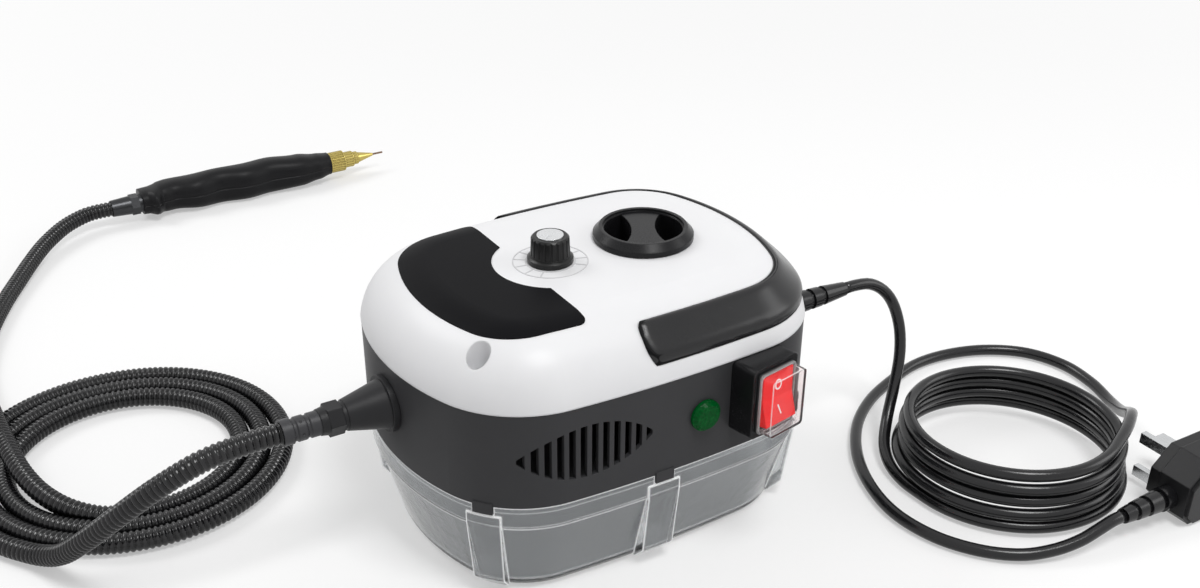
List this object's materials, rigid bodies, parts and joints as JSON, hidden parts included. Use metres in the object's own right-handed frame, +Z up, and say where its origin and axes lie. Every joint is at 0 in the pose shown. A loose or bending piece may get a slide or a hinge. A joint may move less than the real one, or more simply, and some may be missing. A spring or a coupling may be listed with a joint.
{
  "type": "steam cleaner",
  "caption": "Rounded steam cleaner body with a clear water tank, filler cap, knob, lamp and rocker switch, a ribbed hose to a hand gun with brass nozzle, and a coiled mains lead.",
  "frame": {"origin": "centre of the tank's flat underside, on the floor", "axes": "+X along the body from the hose end to the lead end, -Y out of the side with the vent, lamp and switch, +Z up"},
  "size_m": [0.665, 0.7214, 0.1625],
  "materials": {
    "clear_plastic": "clear, glossy",
    "white_plastic": "white, glossy",
    "grey_band": "dark grey, satin",
    "black_plastic": "black, fine matte",
    "black_gloss": "black, semi-gloss",
    "black_rubber": "black, matte",
    "grey_rubber": "dark grey, matte",
    "red_seal": "red silicone",
    "panel_black": "black print film",
    "dial_print": "pale grey print",
    "steel": "bright",
    "silver_disc": "spun",
    "lamp_green": "green, translucent",
    "rocker_red": "red, translucent",
    "boot_clear": "clear silicone",
    "brass_parts": "bright brass",
    "copper_tone": "tube",
    "cast_boiler": "cast",
    "pump_steel": "dark",
    "tube_clear": "silicone",
    "board_green": "circuit board"
  },
  "bodies": {
    "housing": {"water_tank": "clear_plastic", "tank_gasket": "black_rubber", "mid_housing": "grey_band", "chassis_plate": "black_plastic", "top_cover": "white_plastic", "grip_band": "grey_band", "label_panel": "panel_black", "cover_screw": "steel", "chassis_screws": "steel", "dial_ring": "dial_print", "control_body": "black_plastic", "filler_neck": "black_plastic", "indicator_lamp": "lamp_green", "lamp_body": "black_plastic", "switch_bezel": "black_gloss", "switch_body": "black_plastic", "switch_boot": "boot_clear", "hose_gland": "black_plastic", "hose_nut": "black_plastic", "hose_sleeve": "grey_rubber", "hose_lead": "black_rubber", "hose_coil": "black_rubber", "hose_tail": "black_rubber", "cord_relief": "black_rubber", "mains_lead": "black_rubber", "mains_coil": "black_rubber", "mains_tail": "black_rubber", "plug_body": "black_gloss", "plug_relief": "black_rubber", "plug_pins": "brass_parts", "boiler": "cast_boiler", "thermal_cutout": "steel", "steam_pipe": "copper_tone", "pump": "pump_steel", "pump_mount": "black_rubber", "pump_pipe": "tube_clear", "suction_pipe": "tube_clear", "control_board": "board_green", "gun_shell_right": "black_plastic", "gun_shell_left": "black_plastic", "gun_connector": "steel", "gun_steam_tube": "copper_tone", "gun_switch": "black_plastic"},
    "knob": {"control_knob": "black_plastic", "knob_disc": "silver_disc", "control_shaft": "steel"},
    "cap_seal": {"cap_gasket": "red_seal"},
    "cap": {"filler_cap": "black_gloss"},
    "switch_rocker": {"rocker": "rocker_red"},
    "trigger": {"thumb_button": "grey_band"},
    "collar": {"nozzle_collar": "brass_parts"},
    "nozzle_tip": {"nozzle_adapter": "brass_parts", "nozzle_cone": "brass_parts", "nozzle_needle": "copper_tone"}
  },
  "joints": [
    {"name": "knob_turn", "type": "hinge", "parent": "housing", "child": "knob", "pos_m": [-0.02, 0, 0.147], "axis": [0, 0, 1], "range_deg": [-135, 135]},
    {"name": "cap_lift", "type": "slide", "parent": "housing", "child": "cap_seal", "axis": [0, 0, 1], "range_m": [0, 0.0201]},
    {"name": "cap_turn", "type": "hinge", "parent": "cap_seal", "child": "cap", "pos_m": [0.038, 0, 0.149], "axis": [0, 0, 1], "range_deg": [0, 900]},
    {"name": "rocker_tilt", "type": "hinge", "parent": "housing", "child": "switch_rocker", "pos_m": [0.05328, -0.09529, 0.0936], "axis": [0.9816, 0.1908, 0], "range_deg": [0, 16]},
    {"name": "button_press", "type": "slide", "parent": "housing", "child": "trigger", "axis": [0, -1, 0], "range_m": [0, 0.002], "stiffness_N_per_m": 500, "springref_m": -0.0005},
    {"name": "collar_turn", "type": "hinge", "parent": "housing", "child": "collar", "pos_m": [0.049, 0.492, 0.014], "axis": [1, 0, 0], "continuous": true},
    {"name": "tip_turn", "type": "hinge", "parent": "collar", "child": "nozzle_tip", "pos_m": [0.065, 0.492, 0.014], "axis": [1, 0, 0], "continuous": true}
  ],
  "couplings": [
    {"joint": "cap_lift", "follows": "cap_turn", "m_per_rad": 0.0012732}
  ]
}
